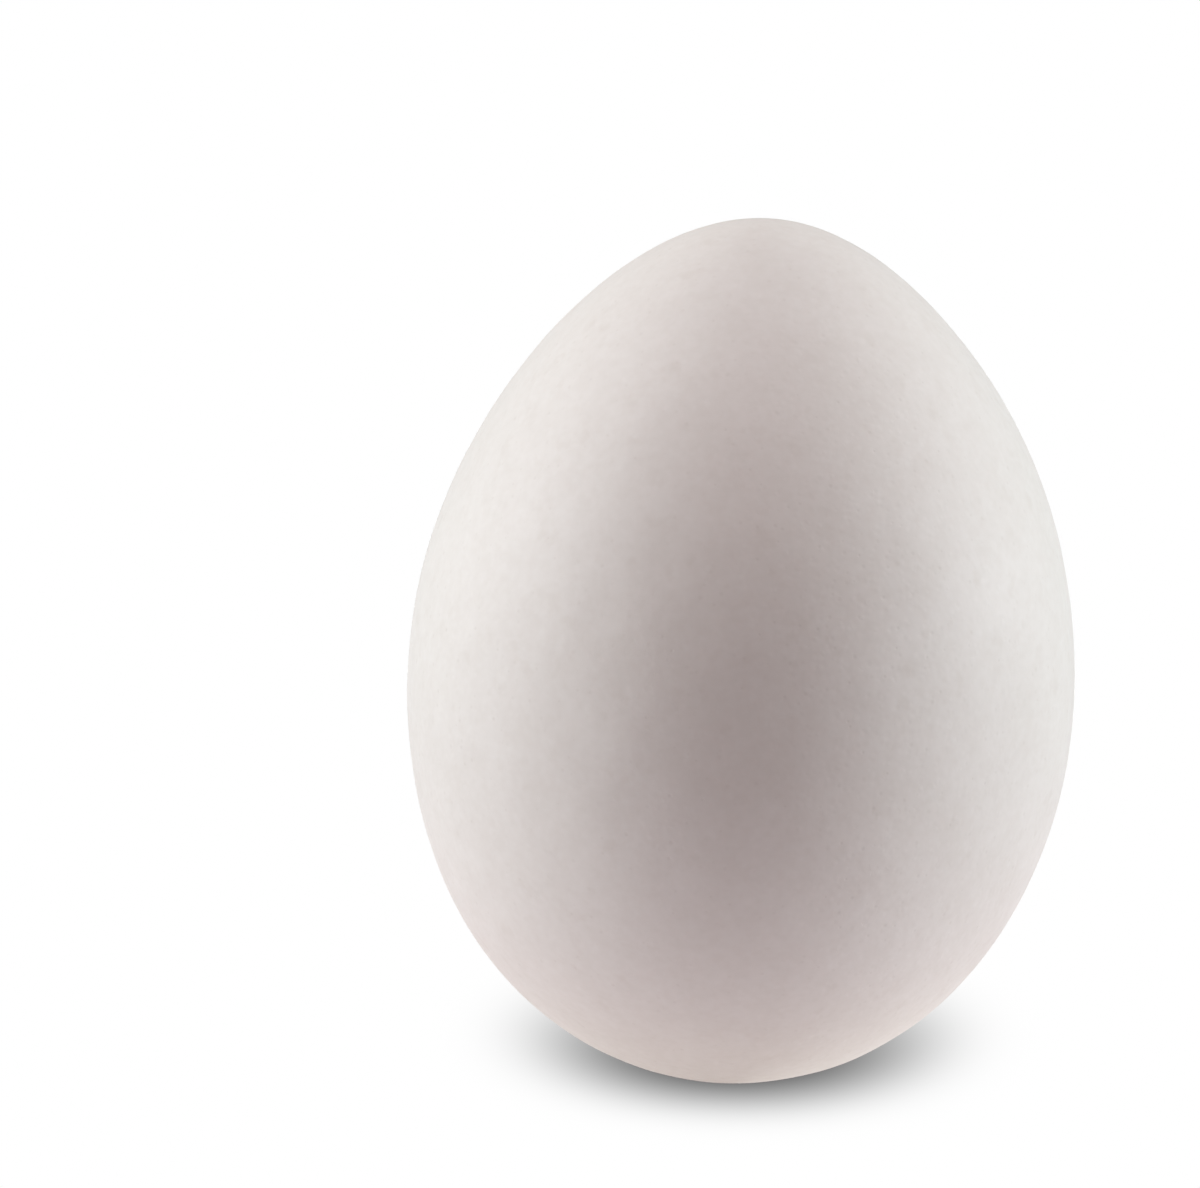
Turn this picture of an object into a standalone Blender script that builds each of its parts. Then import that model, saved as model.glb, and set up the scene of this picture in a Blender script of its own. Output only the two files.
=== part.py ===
"""A hen's egg in its shell, standing on its blunt end on a small flat spot.

The egg is one solid: a profile curve turned about the egg's own long axis, leant over a little,
and cut flat where it rests. Lengths are in metres and +Z is up. The origin is the centre of the
flat spot, and the small end of the egg leans from +Z towards +X.
"""

import math

import bmesh
import bpy
from mathutils import Matrix, Vector

# Driving dimensions.
EGG_LENGTH = 0.0570
EGG_BREADTH = 0.0434
EGG_LEAN = math.radians(3.4)
REST_SPOT_RADIUS = 0.0031

# The profile is an ellipse whose radius is multiplied by a cubic in s, where s runs from -1 at
# the blunt pole to +1 at the small pole. Each number is that power's share of the radius.
TAPER = -0.084
SHOULDERS = -0.042
SMALL_END = -0.057

# How finely the solid is faceted.
PROFILE_STEPS = 44
TURN_STEPS = 64
SEARCH_STEPS = 2000
MERGE_DISTANCE = 1e-6
SNAP_DISTANCE = 3e-5

SHELL_COLOUR = (0.82, 0.79, 0.75, 1.0)
SHELL_ROUGHNESS = 0.5


def clear_scene():
    """Removes whatever the file starts with, such as the startup cube."""
    for obj in list(bpy.data.objects):
        bpy.data.objects.remove(obj, do_unlink=True)


def relative_radius(angle):
    """Radius of the egg at a latitude, as a share of the half breadth that an ellipse would have."""
    s = math.sin(angle)
    return math.cos(angle) * (1 + TAPER * s + SHOULDERS * s**2 + SMALL_END * s**3)


def latitudes(steps):
    """Evenly spaced latitudes from the blunt pole, at -90 degrees, to the small pole."""
    return [math.pi * (i / steps - 0.5) for i in range(steps + 1)]


def profile_points():
    """The egg's outline from the blunt pole up to the small pole, in the XZ plane."""
    widest = max(relative_radius(angle) for angle in latitudes(SEARCH_STEPS))
    scale = EGG_BREADTH / 2 / widest
    return [
        Vector((scale * relative_radius(angle), 0, EGG_LENGTH / 2 * math.sin(angle)))
        for angle in latitudes(PROFILE_STEPS)
    ]


def blunt_end_curvature_radius():
    """Radius of the sphere that fits the egg's blunt pole, which sets how deep the rest spot is cut."""
    widest = max(relative_radius(angle) for angle in latitudes(SEARCH_STEPS))
    pole_share = (1 - TAPER + SHOULDERS - SMALL_END) / widest
    return (EGG_BREADTH / 2 * pole_share) ** 2 / (EGG_LENGTH / 2)


def turn_profile(mesh):
    """Turns the outline about +Z into a closed surface and merges the points that meet at the poles."""
    points = [mesh.verts.new(point) for point in profile_points()]
    edges = [mesh.edges.new(pair) for pair in zip(points, points[1:])]
    bmesh.ops.spin(
        mesh,
        geom=points + edges,
        cent=(0, 0, 0),
        axis=(0, 0, 1),
        angle=2 * math.pi,
        steps=TURN_STEPS,
        use_merge=True,
    )
    bmesh.ops.remove_doubles(mesh, verts=mesh.verts, dist=MERGE_DISTANCE)
    bmesh.ops.recalc_face_normals(mesh, faces=mesh.faces)


def lean_over(mesh):
    """Leans the small end towards +X, about the middle of the egg."""
    bmesh.ops.rotate(mesh, verts=mesh.verts, cent=(0, 0, 0), matrix=Matrix.Rotation(EGG_LEAN, 3, "Y"))


def cut_rest_spot(mesh):
    """Slices the lowest part off level, closes it with one face and moves that face's centre to the origin."""
    depth = REST_SPOT_RADIUS**2 / (2 * blunt_end_curvature_radius())
    level = min(vert.co.z for vert in mesh.verts) + depth
    bmesh.ops.bisect_plane(
        mesh,
        geom=mesh.verts[:] + mesh.edges[:] + mesh.faces[:],
        dist=SNAP_DISTANCE,
        plane_co=(0, 0, level),
        plane_no=(0, 0, 1),
        use_snap_center=True,
        clear_inner=True,
    )
    rim = [edge for edge in mesh.edges if edge.is_boundary]
    spot = bmesh.ops.holes_fill(mesh, edges=rim, sides=0)["faces"][0]
    for edge in spot.edges:
        edge.smooth = False
    bmesh.ops.recalc_face_normals(mesh, faces=mesh.faces)
    bmesh.ops.translate(mesh, verts=mesh.verts, vec=-spot.calc_center_bounds())


def shell_material():
    """Plain white eggshell: pale, faintly warm and between matte and satin."""
    material = bpy.data.materials.new("eggshell")
    material.use_nodes = True
    shader = material.node_tree.nodes["Principled BSDF"]
    shader.inputs["Base Color"].default_value = SHELL_COLOUR
    shader.inputs["Roughness"].default_value = SHELL_ROUGHNESS
    shader.inputs["Metallic"].default_value = 0.0
    return material


def build_egg():
    """The whole egg as one object."""
    shape = bmesh.new()
    turn_profile(shape)
    lean_over(shape)
    cut_rest_spot(shape)
    mesh = bpy.data.meshes.new("egg")
    shape.to_mesh(mesh)
    shape.free()
    for polygon in mesh.polygons:
        polygon.use_smooth = True
    mesh.materials.append(shell_material())
    egg = bpy.data.objects.new("egg", mesh)
    bpy.context.scene.collection.objects.link(egg)
    return egg


def main():
    clear_scene()
    build_egg()


main()
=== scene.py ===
# %% [markdown]
# # A hen's egg, from a cube
# The egg was first made as a plain solid, with its true size, its lean and the small flat spot
# that it stands on. This lesson makes the surface that is seen: a shell that is fine and almost
# even, with its shallow waves, its pores and the soft sheen of real eggshell. The solid comes in
# as the frame, and everything here is measured from it, so nothing has to be moved or scaled to
# fit afterwards. Lengths are in metres, and MM turns millimetres into them.

# %% The frame
import math

import bpy
import numpy as np
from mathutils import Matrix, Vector


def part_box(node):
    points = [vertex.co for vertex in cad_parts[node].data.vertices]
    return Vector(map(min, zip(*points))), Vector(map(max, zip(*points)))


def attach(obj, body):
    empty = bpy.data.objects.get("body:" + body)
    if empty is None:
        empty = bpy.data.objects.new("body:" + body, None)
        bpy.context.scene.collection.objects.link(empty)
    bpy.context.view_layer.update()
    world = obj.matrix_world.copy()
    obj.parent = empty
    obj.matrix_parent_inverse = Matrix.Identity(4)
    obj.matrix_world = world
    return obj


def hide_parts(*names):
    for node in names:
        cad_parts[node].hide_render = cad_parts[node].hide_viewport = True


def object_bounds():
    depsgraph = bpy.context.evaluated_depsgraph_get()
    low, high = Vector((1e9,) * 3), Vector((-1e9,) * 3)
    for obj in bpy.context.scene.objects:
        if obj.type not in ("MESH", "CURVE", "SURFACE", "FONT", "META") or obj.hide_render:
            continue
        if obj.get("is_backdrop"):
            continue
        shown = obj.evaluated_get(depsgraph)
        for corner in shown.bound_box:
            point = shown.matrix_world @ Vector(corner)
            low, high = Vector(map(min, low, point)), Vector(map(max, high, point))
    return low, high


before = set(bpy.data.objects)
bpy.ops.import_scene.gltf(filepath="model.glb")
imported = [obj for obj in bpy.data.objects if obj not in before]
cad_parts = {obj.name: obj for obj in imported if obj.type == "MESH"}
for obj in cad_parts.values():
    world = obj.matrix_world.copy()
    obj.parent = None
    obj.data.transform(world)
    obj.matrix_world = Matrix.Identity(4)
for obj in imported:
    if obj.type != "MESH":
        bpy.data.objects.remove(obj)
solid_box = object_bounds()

MM = 0.001
LOW, HIGH = (np.array(corner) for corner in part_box("egg"))
SIZE = HIGH - LOW
print("size of the solid in mm:", np.round(SIZE / MM, 2))

# %% [markdown]
# ## A sphere without poles
# An egg is round about its long axis, so it could be turned in rings, as on a lathe. Rings crowd
# together at the poles, though, and pinch the shading just where an egg is smoothest. Here a cube
# is blown up into a sphere instead. Its six square grids meet edge to edge, every square is about
# as large as the next, and no point is special. That also gives the later waves the same fine
# grid everywhere: the squares come out about a third of a millimetre wide.

# %% Blow up a cube
GRID_CELLS = 128


def cube_sphere(cells):
    """Directions from the middle of a cube to a grid of points on it, and the squares between them.

    A point has whole-number steps from 0 to cells along each edge of the cube. A step is turned
    into the tangent of its share of a quarter turn, from -1 to 1, which spaces the grid lines by
    equal angles. Dividing by the distance from the middle then puts every point at a distance
    of 1. The two faces across an axis see their grids from opposite sides, so the low one has
    its squares turned round to face outwards too.
    """
    steps = np.arange(cells + 1)
    across, along = np.meshgrid(steps, steps, indexing="ij")
    faces = np.empty((6, cells + 1, cells + 1, 3), int)
    for axis in range(3):
        for face, step in ((2 * axis, 0), (2 * axis + 1, cells)):
            faces[face, ..., axis] = step
            faces[face, ..., (axis + 1) % 3] = across
            faces[face, ..., (axis + 2) % 3] = along
    points, index = np.unique(faces.reshape(-1, 3), axis=0, return_inverse=True)
    index = index.reshape(6, cells + 1, cells + 1)
    corners = [index[:, :-1, :-1], index[:, 1:, :-1], index[:, 1:, 1:], index[:, :-1, 1:]]
    squares = np.stack(corners, axis=-1)
    squares[0::2] = squares[0::2, ..., ::-1]
    directions = np.tan((points / cells - 0.5) * math.pi / 2)
    directions /= np.linalg.norm(directions, axis=1, keepdims=True)
    return directions, squares.reshape(-1, 4)


directions, squares = cube_sphere(GRID_CELLS)
print(len(directions), "points and", len(squares), "squares")

# %% [markdown]
# ## From sphere to egg
# A sphere stretched along one axis is an ellipsoid, which has two equal ends. An egg is blunt at
# one end and narrow at the other, so its radius is also multiplied by a cubic in s, the height
# along the axis, from -1 at the blunt pole to +1 at the small pole. Three numbers then say
# everything about the shape: how much it tapers, how full its shoulders are, and how narrow its
# small end is. The length and the breadth come from the solid.

# %% The egg formula
TAPER = -0.084
SHOULDERS = -0.042
SMALL_END = -0.057


def swelling(s):
    """How many times wider than the ellipsoid the egg is at height s: one plus a cubic in s."""
    return 1 + TAPER * s + SHOULDERS * s**2 + SMALL_END * s**3


def egg_points(directions):
    """The point of the egg in each direction of the sphere.

    The height is the direction's own height s times half the length. Across the axis, the
    direction is multiplied by half the breadth and by the swelling at s.
    """
    s = directions[:, 2:]
    return np.hstack([directions[:, :2] * half_breadth * swelling(s), s * half_length])


print("swelling at the blunt pole:", round(swelling(-1), 3))
print("swelling at the small pole:", round(swelling(1), 3))

# %% [markdown]
# ## How long and how broad
# The swelling makes the egg widest below its middle, by a little less than the ellipsoid's full
# breadth, so the breadth is divided by that. The length has to allow for two things. The egg
# leans by a few degrees, which makes it stand slightly lower than it is long, and a thin slice
# of its blunt pole is flattened to stand on. The slice is as deep as a sphere with the pole's own
# curve sinks in when it prints a spot of that radius.

# %% Measures of this egg
LEAN = math.radians(3.4)
SPOT_RADIUS = 3.1 * MM

heights = np.linspace(-1, 1, 2001)
widest = (np.sqrt(1 - heights**2) * swelling(heights)).max()
half_breadth = SIZE[1] / 2 / widest
blunt_curve = (half_breadth * swelling(-1)) ** 2 / (SIZE[2] / 2)
spot_depth = SPOT_RADIUS**2 / (2 * blunt_curve)
half_length = (SIZE[2] + spot_depth) / 2 / math.cos(LEAN)
print("length in mm:", round(2 * half_length / MM, 2))
print("curve of the blunt pole in mm:", round(blunt_curve / MM, 2))
print("depth of the flat spot in mm:", round(spot_depth / MM, 3))

# %% [markdown]
# ## Slightly uneven
# The hen lays down a shell over most of a day, and it never comes out quite true. It has broad
# waves up to a tenth of a millimetre high, and lower and shorter ones on them. They are far too
# shallow to see as shapes, but they break up the even shading that would look like plastic.
# Moving each point at random would look like gravel. A sum of plane sine waves with random
# directions is smooth everywhere and has no seam, and a seeded generator gives the same waves on
# every run.

# %% Shallow waves
WAVES = (
    # wavelength, height, number of waves, seed
    (18 * MM, 0.03 * MM, 12, 3),
    (5 * MM, 0.008 * MM, 40, 5),
    (1.6 * MM, 0.0015 * MM, 80, 8),
)
SHORTEST = 0.7
LONGEST = 1.4


def wave_height(points, wavelength, count, seed):
    """Smooth random height at each point, about 1 high.

    It is the sum of count sine waves, divided by the root of half their count. Each runs along
    its own random direction, and its wavelength is the one given times a random number from
    SHORTEST to LONGEST.
    """
    random = np.random.default_rng(seed)
    along = random.normal(size=(3, count))
    along /= np.linalg.norm(along, axis=0)
    along *= 2 * math.pi / (wavelength * random.uniform(SHORTEST, LONGEST, count))
    phase = random.uniform(0, 2 * math.pi, count)
    return np.sin(points @ along + phase).sum(axis=1) / math.sqrt(count / 2)


def make_uneven(points, directions):
    """Moves each point in or out along its direction by the sum of the waves."""
    height = sum(high * wave_height(points, long, count, seed) for long, high, count, seed in WAVES)
    print("waves in mm, lowest and highest:", np.round([height.min() / MM, height.max() / MM], 3))
    return points + directions * height[:, None]


# %% [markdown]
# ## Leaning and standing
# The egg leans a little, so it doesn't stand on its very pole. After the lean, what is below the
# ground is pressed up to it, and that is the spot on which it stands. Cutting it off would leave
# a ragged edge on the grid. The pressing goes smoothly from nothing to all, through a parabola
# in a band a few hundredths of a millimetre high, so the shell meets the ground on a round rim.

# %% Stand it on its spot
SPOT_RIM = 0.03 * MM


def lean_over(points):
    """Turns points about the Y axis by the lean, so that the small end moves towards +X."""
    x, y, z = points.T
    sine, cosine = math.sin(LEAN), math.cos(LEAN)
    return np.stack([x * cosine + z * sine, y, z * cosine - x * sine], axis=1)


def stand(points):
    """Moves the lowest point under the origin, one spot depth down, and presses the spot flat.

    A height above the rim stays as it is. Below, it becomes the square of the height plus one
    rim, divided by four rims, which is 0 from one rim under the ground down.
    """
    lowest = points[points[:, 2].argmin()]
    x, y, z = (points - lowest).T
    z -= spot_depth
    pressed = np.clip(z + SPOT_RIM, 0, None) ** 2 / (4 * SPOT_RIM)
    return np.stack([x, y - y.mean(), np.where(z > SPOT_RIM, z, pressed)], axis=1)


shell = stand(lean_over(make_uneven(egg_points(directions), directions)))
print("size of the shell in mm:", np.round(np.ptp(shell, axis=0) / MM, 2))
print("past the solid's low corner in mm:", np.round((LOW - shell.min(axis=0)) / MM, 3))
print("past its high corner in mm:", np.round((shell.max(axis=0) - HIGH) / MM, 3))

# %% [markdown]
# ## Into Blender
# The points are already where they belong, so the object stays at the origin, unturned and
# unscaled. Smooth shading blends the squares into one curve. The piece rides on the only body
# there is, stands for the plain solid, which is hidden, and takes the eggshell finish.

# %% The shell as an object
def mesh_object(name, points, faces):
    """A smooth-shaded object at the origin, with its place in its mesh."""
    mesh = bpy.data.meshes.new(name)
    mesh.from_pydata(points.tolist(), [], faces.tolist())
    mesh.shade_smooth()
    obj = bpy.data.objects.new(name, mesh)
    bpy.context.scene.collection.objects.link(obj)
    return obj


egg_shell = mesh_object("egg_shell", shell, squares)
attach(egg_shell, "root")
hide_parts("egg")
print("triangles:", 2 * len(egg_shell.data.polygons))

# %% [markdown]
# ## Nodes in a few words
# A material is a tree of nodes. Each node takes a few lines to make and to link, which hides what
# the tree does. Four small helpers make it read like a recipe instead. One starts an empty tree,
# one adds a node with its settings and its links, one does a sum and one mixes two colours. An
# input that is given another node's output is linked to it, and one that is given a number is
# set to it.

# %% Helpers for nodes
def new_look(name):
    """A new material and its empty node tree."""
    material = bpy.data.materials.new(name)
    material.use_nodes = True
    material.node_tree.nodes.clear()
    return material, material.node_tree


def add(tree, kind, inputs, **settings):
    """A node of the kind with its settings, and its inputs set to numbers or linked to outputs."""
    node = tree.nodes.new("ShaderNode" + kind)
    for name, value in settings.items():
        setattr(node, name, value)
    for name, value in inputs.items():
        if isinstance(value, bpy.types.NodeSocket):
            tree.links.new(value, node.inputs[name])
        else:
            node.inputs[name].default_value = value
    return node


def sum_of(tree, operation, *values):
    """The output of a Math node that does the operation on its values."""
    return add(tree, "Math", dict(enumerate(values)), operation=operation).outputs["Value"]


def between(tree, share, first, second):
    """A colour on the way from the first, where share is 0, to the second, where it is 1.

    A Mix node has its own pair of inputs for each kind of data: 6 and 7 are the two colours.
    """
    return add(tree, "Mix", {0: share, 6: first, 7: second}, data_type="RGBA").outputs[2]


# %% [markdown]
# ## Groups
# A node group is a tree with named inputs and outputs of its own. It is built once and can then
# be placed many times with other values, like a function. Two effects are used more than once
# here, spots and soft noise, so each is a group. Sizes go in as millimetres, which are easier to
# think in than the scales that the textures ask for.

# %% Helpers for groups
def new_group(name, inputs, output):
    """A new group with these inputs and one number as its output, and the inputs' values inside."""
    group = bpy.data.node_groups.new(name, "ShaderNodeTree")
    for socket, kind in inputs.items():
        group.interface.new_socket(socket, in_out="INPUT", socket_type="NodeSocket" + kind)
    group.interface.new_socket(output, in_out="OUTPUT", socket_type="NodeSocketFloat")
    return group, group.nodes.new("NodeGroupInput").outputs


def put_out(group, name, value):
    """Links a value inside the group to its output."""
    group.links.new(value, group.nodes.new("NodeGroupOutput").inputs[name])


# %% [markdown]
# ## Scattered spots
# An egg breathes through some ten thousand pores. They show as pin pricks a fifth of a millimetre
# wide, thinly scattered. Between them the shell is covered with faint pimples and dimples. All of
# these are round spots of mixed sizes. A Voronoi texture fills space with cells, and each has one
# point and one random colour. The distance to the point makes a round spot, the red of the colour
# says whether the cell has a spot at all, and the green says how wide it is. The shell is only a
# skin through those cells, so it misses many of the points and cuts others off centre. That
# scatters the spots and mixes their sizes with no sign of a grid.

# %% The group for spots
SMALLEST_SPOT = 0.5


def spots_group():
    """A group that puts out 1 at the middle of each spot, falling smoothly to 0 at its rim.

    Spacing is the width of a cell and Radius that of the widest spot, both in millimetres, and
    Share is how many of the cells have a spot.
    """
    sockets = {"Place": "Vector", "Spacing": "Float", "Radius": "Float", "Share": "Float"}
    group, given = new_group("scattered_spots", sockets, "Spot")
    scale = sum_of(group, "DIVIDE", 1, given["Spacing"])
    cells = add(group, "TexVoronoi", {"Vector": given["Place"], "Scale": scale})
    chance = add(group, "SeparateColor", {"Color": cells.outputs["Color"]})
    distance = sum_of(group, "MULTIPLY", cells.outputs["Distance"], given["Spacing"])
    width = sum_of(group, "MULTIPLY_ADD", chance.outputs["Green"], 1 - SMALLEST_SPOT, SMALLEST_SPOT)
    rim = sum_of(group, "MULTIPLY", width, given["Radius"])
    ramp = {"Value": distance, "From Min": rim, "From Max": 0, "To Min": 0, "To Max": 1}
    spot = add(group, "MapRange", ramp, interpolation_type="SMOOTHSTEP").outputs["Result"]
    chosen = sum_of(group, "LESS_THAN", chance.outputs["Red"], given["Share"])
    put_out(group, "Spot", sum_of(group, "MULTIPLY", spot, chosen))
    return group


SPOTS = spots_group()
print("nodes in the group for spots:", len(SPOTS.nodes))


def spots(tree, place, spacing, radius, share):
    """The spots of one kind, with their spacing and radius in millimetres."""
    inputs = {"Place": place, "Spacing": spacing, "Radius": radius, "Share": share}
    return add(tree, "Group", inputs, node_tree=SPOTS).outputs["Spot"]


# %% The group for soft noise
def noise_group():
    """A group that puts out smooth noise from about -1 to 1, with lumps Size millimetres wide."""
    group, given = new_group("soft_noise", {"Place": "Vector", "Size": "Float"}, "Noise")
    scale = sum_of(group, "DIVIDE", 1, given["Size"])
    texture = {"Vector": given["Place"], "Scale": scale, "Detail": 2, "Roughness": 0.5}
    lumps = add(group, "TexNoise", texture).outputs["Fac"]
    put_out(group, "Noise", sum_of(group, "MULTIPLY_ADD", lumps, 2, -1))
    return group


NOISE = noise_group()
print("nodes in the group for noise:", len(NOISE.nodes))


def noise(tree, place, size):
    """Soft noise with lumps of this size in millimetres."""
    return add(tree, "Group", {"Place": place, "Size": size}, node_tree=NOISE).outputs["Noise"]


# %% [markdown]
# ## Where on the shell
# Object coordinates count metres from the object's origin and stay put on the surface, whatever
# the camera does. They are turned into millimetres once, for all the patterns. Pimples and
# dimples must not share their places, so the dimples are given a place a few centimetres away:
# any other part of the same endless texture will do.

# %% Start the material
FAR_AWAY = (50, 50, 50)


def place_in_mm(tree):
    """The place on the object, in millimetres from its origin."""
    to_mm = {0: add(tree, "TexCoord", {}).outputs["Object"], "Scale": 1 / MM}
    return add(tree, "VectorMath", to_mm, operation="SCALE").outputs["Vector"]


shell_look, tree = new_look("white_eggshell")
place = place_in_mm(tree)
shift = {0: place, 1: FAR_AWAY}
elsewhere = add(tree, "VectorMath", shift, operation="ADD").outputs["Vector"]

# %% [markdown]
# ## The fine relief
# The pimples, dimples and pores are less than a hundredth of a millimetre high, and a mesh that
# held them would need many millions of faces, so they are a bump. Its height is in millimetres,
# and a distance of one millimetre turns it into real height, so every number below is a true
# measure. What counts is the slope of these spots, not their height. It is a degree or so: just
# enough to catch the light where the shell turns from light to shade, and lost where the light is
# even. A spot falls from its middle to its rim in a smooth step, which is one and a half times as
# steep in the middle of the step as a straight slope would be.

# %% Pimples, dimples and pores
PIMPLE_RADIUS = 0.4

pimples = spots(tree, place, spacing=0.62, radius=PIMPLE_RADIUS, share=0.9)
dimples = spots(tree, elsewhere, spacing=0.68, radius=0.44, share=0.9)
pores = spots(tree, place, spacing=0.9, radius=0.24, share=0.8)

# %% Heights in millimetres
ROLL_SIZE = 1.3
ROLL_HEIGHT = 0.009
PIMPLE_HEIGHT = 0.0045
DIMPLE_DEPTH = 0.005
PORE_DEPTH = 0.007

height = sum_of(tree, "MULTIPLY", noise(tree, place, ROLL_SIZE), ROLL_HEIGHT)
height = sum_of(tree, "MULTIPLY_ADD", pimples, PIMPLE_HEIGHT, height)
height = sum_of(tree, "MULTIPLY_ADD", dimples, -DIMPLE_DEPTH, height)
height = sum_of(tree, "MULTIPLY_ADD", pores, -PORE_DEPTH, height)
steepest = math.degrees(math.atan(1.5 * PIMPLE_HEIGHT / PIMPLE_RADIUS))
print("steepest slope of a wide pimple in degrees:", round(steepest, 2))

# %% The bump
relief = add(tree, "Bump", {"Height": height, "Distance": MM, "Strength": 1})

# %% [markdown]
# ## Clouds and damp patches
# A white shell isn't one white. It is chalky where the film on it is thick, and creamier where
# that is thin, in clouds from the width of a finger down to less than a millimetre. Moisture that
# has crept into the chalk shows as small darker patches. Both start from noise. For the clouds
# three sizes of it are added. For the patches one size is cut off low, so only its peaks are left.

# %% Two masks from noise
CLOUD_SIZES = (9, 2.2, 0.7)
CLOUD_SHARES = (0.5, 0.5, 0.7)
DAMP_SIZE = 1.7
DAMP_STARTS = 0.2
DAMP_FULL = 0.5

clouds = 0.5
for size, share in zip(CLOUD_SIZES, CLOUD_SHARES):
    clouds = sum_of(tree, "MULTIPLY_ADD", noise(tree, place, size), share, clouds)
peaks = {"Value": noise(tree, elsewhere, DAMP_SIZE), "From Min": DAMP_STARTS, "From Max": DAMP_FULL}
damp = add(tree, "MapRange", peaks, interpolation_type="SMOOTHSTEP").outputs["Result"]

# %% [markdown]
# ## The colour
# Each mask brings in a little of its own colour: cream in the clouds, a damp grey in the patches
# and brown in the pores. The dimples are also pulled towards the damp grey, which is painted
# shade in the hollows, and the pimples towards a lighter chalk, which is painted light on the
# raised spots. All of it is faint, a few hundredths between one place and the next. Nobody sees
# it as a pattern, but without it the egg looks like painted plastic.

# %% Chalk, cream, damp, painted shade and light, and pores
CHALK = (0.84, 0.815, 0.78, 1)
CREAM = (0.8, 0.77, 0.73, 1)
# grey of the damp patches, also used as painted shade in the dimples
DAMP_GREY_AND_DIMPLE_SHADE = (0.74, 0.7, 0.65, 1)
# painted light: a lighter chalk on the raised pimples
PAINTED_PIMPLE_LIGHT = (0.92, 0.9, 0.87, 1)
PORE = (0.52, 0.47, 0.42, 1)

STAINS_SHADE_AND_LIGHT = (
    # mask, share of the colour where the mask is 1, the colour: a stain, painted shade in the
    # dimples, painted light on the pimples
    (damp, 0.3, DAMP_GREY_AND_DIMPLE_SHADE),
    # painted shade in the dimples
    (dimples, 0.12, DAMP_GREY_AND_DIMPLE_SHADE),
    # painted light on the pimples
    (pimples, 0.1, PAINTED_PIMPLE_LIGHT),
    (pores, 0.12, PORE),
)
colour = between(tree, clouds, CHALK, CREAM)
for mask, share, mark_colour in STAINS_SHADE_AND_LIGHT:
    colour = between(tree, sum_of(tree, "MULTIPLY", mask, share), colour, mark_colour)

# %% [markdown]
# ## The sheen
# Clean eggshell is nearly matte. Its film spreads a reflection so far that it shows only as a soft
# brightening of the flanks, and a roughness a little over a half does that. It is rougher where
# the shell is bare and creamy, which comes from the same clouds, and roughest in the pores.

# %% The shader
SHELL_ROUGHNESS = 0.57
CLOUD_ROUGHNESS = 0.06
PORE_ROUGHNESS = 0.2

roughness = sum_of(tree, "MULTIPLY_ADD", clouds, CLOUD_ROUGHNESS, SHELL_ROUGHNESS)
roughness = sum_of(tree, "MULTIPLY_ADD", pores, PORE_ROUGHNESS, roughness)
finish = {"Base Color": colour, "Roughness": roughness, "Normal": relief.outputs["Normal"]}
shader = add(tree, "BsdfPrincipled", finish)
add(tree, "OutputMaterial", {"Surface": shader.outputs["BSDF"]})
egg_shell.data.materials.append(shell_look)
print("nodes in the eggshell:", len(tree.nodes))

# %% [markdown]
# ## The paper under it
# The egg stands on white paper that is lit until it is pure white, with only a small soft shadow
# close around it. Lighting it that far would also flood the egg from below. So the paper does two
# things. For the camera it shines by itself, pure white but for the shadow. For all other rays it
# is plain grey paper that bounces light. Light Path says which kind of ray is asking.

# %% The floor
FLOOR_HALF = 4
PAPER_GREY = (0.5, 0.5, 0.5, 1)

corners = np.array([[-1, -1, 0], [1, -1, 0], [1, 1, 0], [-1, 1, 0]]) * FLOOR_HALF
floor = mesh_object("floor", corners, np.array([[0, 1, 2, 3]]))
floor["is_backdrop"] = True
print("width of the floor in metres:", 2 * FLOOR_HALF)

# %% [markdown]
# ## The shadow
# In soft light an egg's shadow is a soft patch that is darkest at its foot. It lies a little
# behind the egg, since the room is brighter in front. Gathering it from the whole room takes a
# great many rays, and with fewer it is grainy. Here its shape is written as a formula instead. The
# darkness is e to the power of minus a sum of two terms. One is the fifth power of the distance
# from the middle of an ellipse, counted in its radii: almost nothing inside, and much past its
# rim. The other is the square of the distance from the foot, counted in steps of 20 millimetres,
# so the shadow also fades on its way out. All of its lengths are in millimetres.

# %% Where the shadow is
SHADOW_MIDDLE = (0.4, 10, 0)
SHADOW_RADII = (14.3, 19.8, 1)
RIM_POWER = 5
FOOT = (0, 0, 0)
FADE_STEPS = (20, 20, 1)
FADE_POWER = 2
SHADOW_DARKNESS = 0.96


def counted_in(tree, place, start, units):
    """How far the place is from the start, with each axis counted in its own unit."""
    away = add(tree, "VectorMath", {0: place, 1: start}, operation="SUBTRACT").outputs["Vector"]
    steps = add(tree, "VectorMath", {0: away, 1: units}, operation="DIVIDE").outputs["Vector"]
    return add(tree, "VectorMath", {0: steps}, operation="LENGTH").outputs["Value"]


floor_look, tree = new_look("floor_paper")
place = place_in_mm(tree)
radii_out = counted_in(tree, place, SHADOW_MIDDLE, SHADOW_RADII)
steps_out = counted_in(tree, place, FOOT, FADE_STEPS)
past_rim = sum_of(tree, "POWER", radii_out, RIM_POWER)
from_foot = sum_of(tree, "POWER", steps_out, FADE_POWER)
fading = sum_of(tree, "MULTIPLY", sum_of(tree, "ADD", past_rim, from_foot), -1)
darkness = sum_of(tree, "EXPONENT", fading)
brightness = sum_of(tree, "MULTIPLY_ADD", darkness, -SHADOW_DARKNESS, 1)

# %% Paper that shines for the camera
glowing = add(tree, "Emission", {"Strength": brightness})
grey = add(tree, "BsdfDiffuse", {"Color": PAPER_GREY})
asked = add(tree, "LightPath", {}).outputs["Is Camera Ray"]
paper = add(tree, "MixShader", {0: asked, 1: grey.outputs["BSDF"], 2: glowing.outputs["Emission"]})
add(tree, "OutputMaterial", {"Surface": paper.outputs["Shader"]})
floor.data.materials.append(floor_look)
print("nodes in the paper:", len(tree.nodes))

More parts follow.
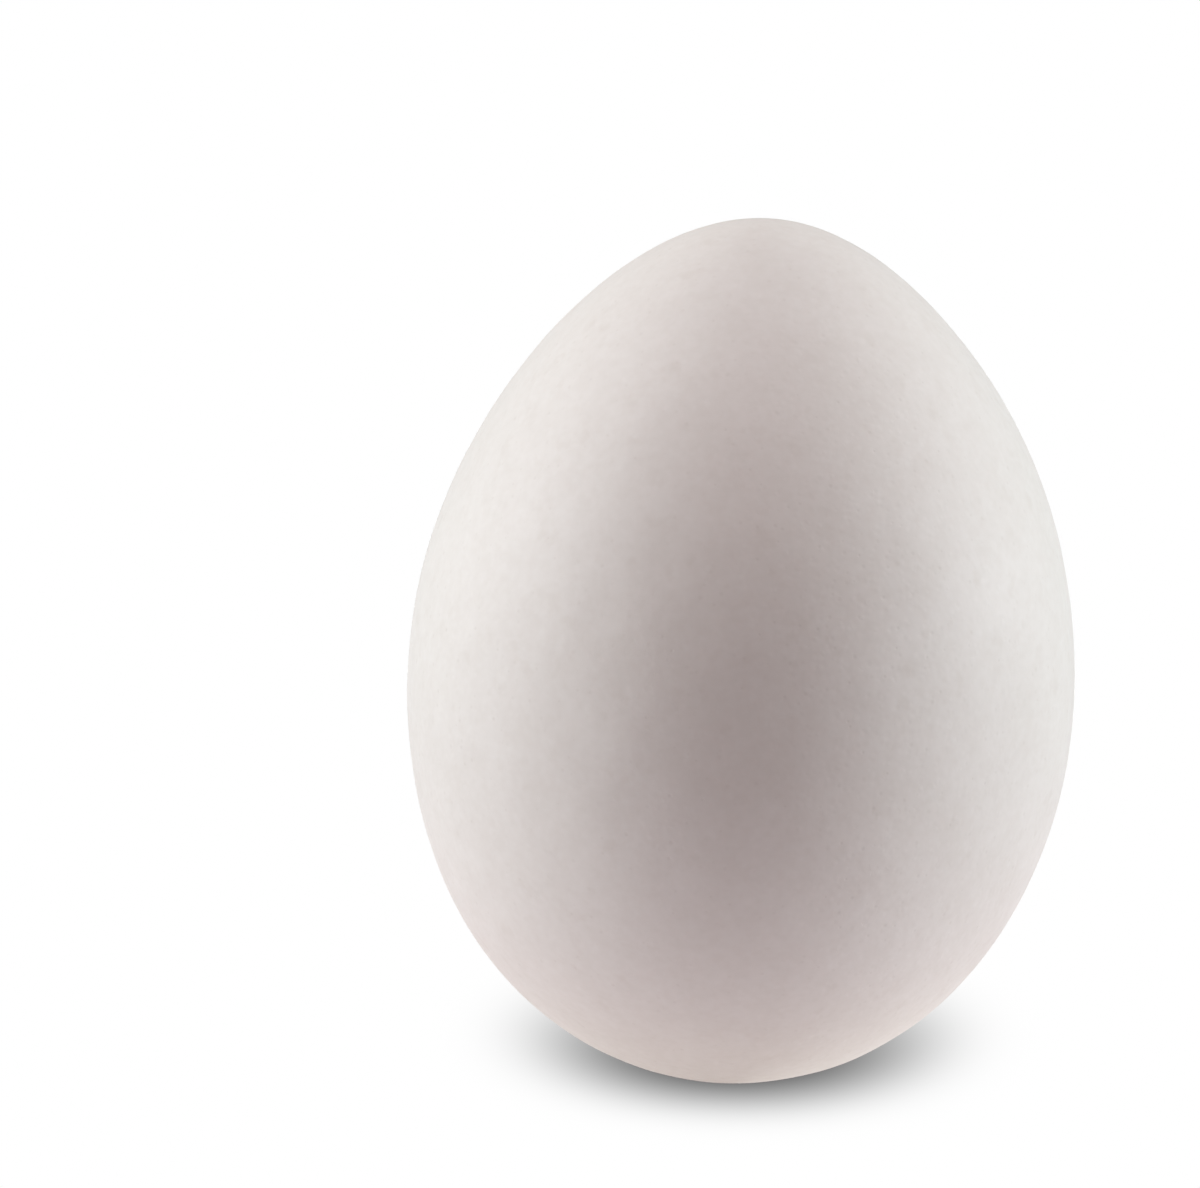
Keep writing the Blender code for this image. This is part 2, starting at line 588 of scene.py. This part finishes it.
# %% [markdown]
# ## The camera
# The camera stands well back with a long lens, as for a product picture, which keeps the egg's
# outline from swelling towards the viewer. It looks down by 14 degrees. The focal length follows
# from how wide a view is wanted at that distance, and the aim puts the egg right of the middle
# and low in the picture, where it has its place beside something taller.

# %% Aim the camera
CAMERA_HEIGHT_ANGLE = math.radians(14)
CAMERA_DISTANCE = 0.75
VIEW_WIDTH = 77.93 * MM
SENSOR_WIDTH = 36
AIM_FROM_MIDDLE = (-9.2, 0, 3.67)

middle = Vector(((LOW + HIGH) / 2).tolist())
aim = middle + Vector(AIM_FROM_MIDDLE) * MM
to_camera = Vector((0, -math.cos(CAMERA_HEIGHT_ANGLE), math.sin(CAMERA_HEIGHT_ANGLE)))
camera_data = bpy.data.cameras.new("camera")
camera_data.sensor_width = SENSOR_WIDTH
camera_data.lens = SENSOR_WIDTH * CAMERA_DISTANCE / VIEW_WIDTH
camera = bpy.data.objects.new("camera", camera_data)
camera.location = aim + to_camera * CAMERA_DISTANCE
camera.rotation_mode = "QUATERNION"
camera.rotation_quaternion = (-to_camera).to_track_quat("-Z", "Y")
bpy.context.scene.collection.objects.link(camera)
bpy.context.scene.camera = camera
print("focal length in mm:", round(camera_data.lens, 1))

# %% [markdown]
# ## Soft lights
# White on white shows its shape only by its shade. A light beside the camera would wash the egg
# out, so the lights stand round it instead: a softbox on each side, and sheets that carry on from
# one to the other over the top. The flanks and the top are then bright, and the front, which
# faces none of them, falls into a soft grey core. Each light is given by its radiance, how bright
# its sheet looks, because that doesn't change when the sheet is made larger or moved.

# %% A light by its radiance
LIGHT_DISTANCE = 0.5


def soft_light(name, radiance, tint, width, height, shape="RECTANGLE"):
    """An area light whose sheet looks as bright as its radiance, in a tint.

    A sheet that shines evenly gives pi watts for each unit of radiance and square metre.
    """
    data = bpy.data.lights.new(name, "AREA")
    data.shape = shape
    data.size = width
    data.size_y = height
    area = width * height * (math.pi / 4 if shape == "ELLIPSE" else 1)
    data.energy = radiance * area * math.pi
    data.color = tint
    light = bpy.data.objects.new(name, data)
    light.rotation_mode = "QUATERNION"
    light.visible_camera = False
    bpy.context.scene.collection.objects.link(light)
    return light


def place_light(light, around, up):
    """Puts a light half a metre away, facing the egg: degrees to the right, then degrees up."""
    around, up = math.radians(around), math.radians(up)
    level = math.cos(up)
    way = Vector((level * math.sin(around), -level * math.cos(around), math.sin(up)))
    light.location = way * LIGHT_DISTANCE
    light.rotation_quaternion = (middle - light.location).to_track_quat("-Z", "Y")


# %% [markdown]
# ## The lights around
# The two softboxes stand beside the egg. The sheets carry on from them over the top, and get
# weaker towards it, so each flank goes evenly from light to shade. A weak warm sheet behind keeps
# the far side from going dark, and a faint red one above the camera warms the grey core.

# %% The lights around
DAYLIGHT = (0.96, 0.99, 1)
COOL = (0.92, 0.98, 1)
WARM = (1, 0.94, 0.86)
RED = (1, 0.05, 0.05)
SOFTBOX = (0.39, 0.17)
SHEET = (0.22, 0.2)

LIGHTS = {
    # name: radiance, tint, width and height in metres, degrees to the right and up
    "left_softbox": (5.8, DAYLIGHT, SOFTBOX, (-90, 10)),
    "right_softbox": (6.9, COOL, SOFTBOX, (90, 10)),
    "left_sheet_low": (5.4, DAYLIGHT, SHEET, (-90, 32)),
    "left_sheet_high": (3.3, DAYLIGHT, SHEET, (-90, 60)),
    "overhead_sheet": (2.7, DAYLIGHT, SHEET, (0, 90)),
    "right_sheet_high": (2.7, DAYLIGHT, SHEET, (90, 60)),
    "right_sheet_low": (3.7, DAYLIGHT, SHEET, (90, 32)),
    "back_sheet": (1.2, WARM, SHEET, (180, 32)),
    "front_glow": (1.15, RED, SHEET, (0, 60)),
}
for name, (radiance, tint, (width, height), (around, up)) in LIGHTS.items():
    place_light(soft_light(name, radiance, tint, width, height), around, up)
print(len(LIGHTS), "lights around the egg")

# %% [markdown]
# ## Light from the paper
# White paper lights an egg from below, and the closer it is, the more. The grey paper bounces
# some of it. The rest comes from three discs that lie just over the paper and shine up: a wide
# rosy one, and two small ones close in, which keep the underside from going dark. They lie at
# different heights, so that none hides another. The camera doesn't see them.

# %% The lights below
ROSE = (1, 0.74, 0.8)
PALE_GREEN = (0.65, 1, 0.7)
GLOWS = {
    # name: radiance, tint, radius, and middle as x, y and height over the paper, in millimetres
    "paper_glow": (0.32, ROSE, 60, (0, 0, 0.1)),
    "near_glow": (0.1, PALE_GREEN, 20, (0, 0, 0.3)),
    "right_glow": (0.145, DAYLIGHT, 12, (12, -4, 0.5)),
}
for name, (radiance, tint, radius, centre) in GLOWS.items():
    disc = soft_light(name, radiance, tint, 2 * radius * MM, 2 * radius * MM, "ELLIPSE")
    disc.location = Vector(centre) * MM
    disc.rotation_quaternion = Vector((0, 0, 1)).to_track_quat("-Z", "Y")
print(len(GLOWS), "discs over the paper")

# %% [markdown]
# ## The room
# The camera sees white past the paper's edge, so the paper has no horizon. For every other ray
# the room is black, so only the lights above light the egg. The Standard view shows colours as
# they are: the default one would grey the white paper.

# %% White for the camera, black for the rest
world = bpy.data.worlds.new("white_room")
world.use_nodes = True
tree = world.node_tree
background = tree.nodes["Background"]
background.inputs["Color"].default_value = (1, 1, 1, 1)
asked = add(tree, "LightPath", {}).outputs["Is Camera Ray"]
tree.links.new(asked, background.inputs["Strength"])
bpy.context.scene.world = world
bpy.context.scene.view_settings.view_transform = "Standard"
print("view:", bpy.context.scene.view_settings.view_transform)

# %% [markdown]
# ## The last look
# What is shown has to be as large as the solid that it stands for, give or take the shallow
# waves. Both boxes are written down, so that they can be compared.

# %% Measure and finish
bpy.context.view_layer.update()
shown_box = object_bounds()
boxes = {"solid": solid_box, "shown": shown_box}
for name, box in boxes.items():
    print(name, "box in mm:", [[round(value / MM, 2) for value in corner] for corner in box])
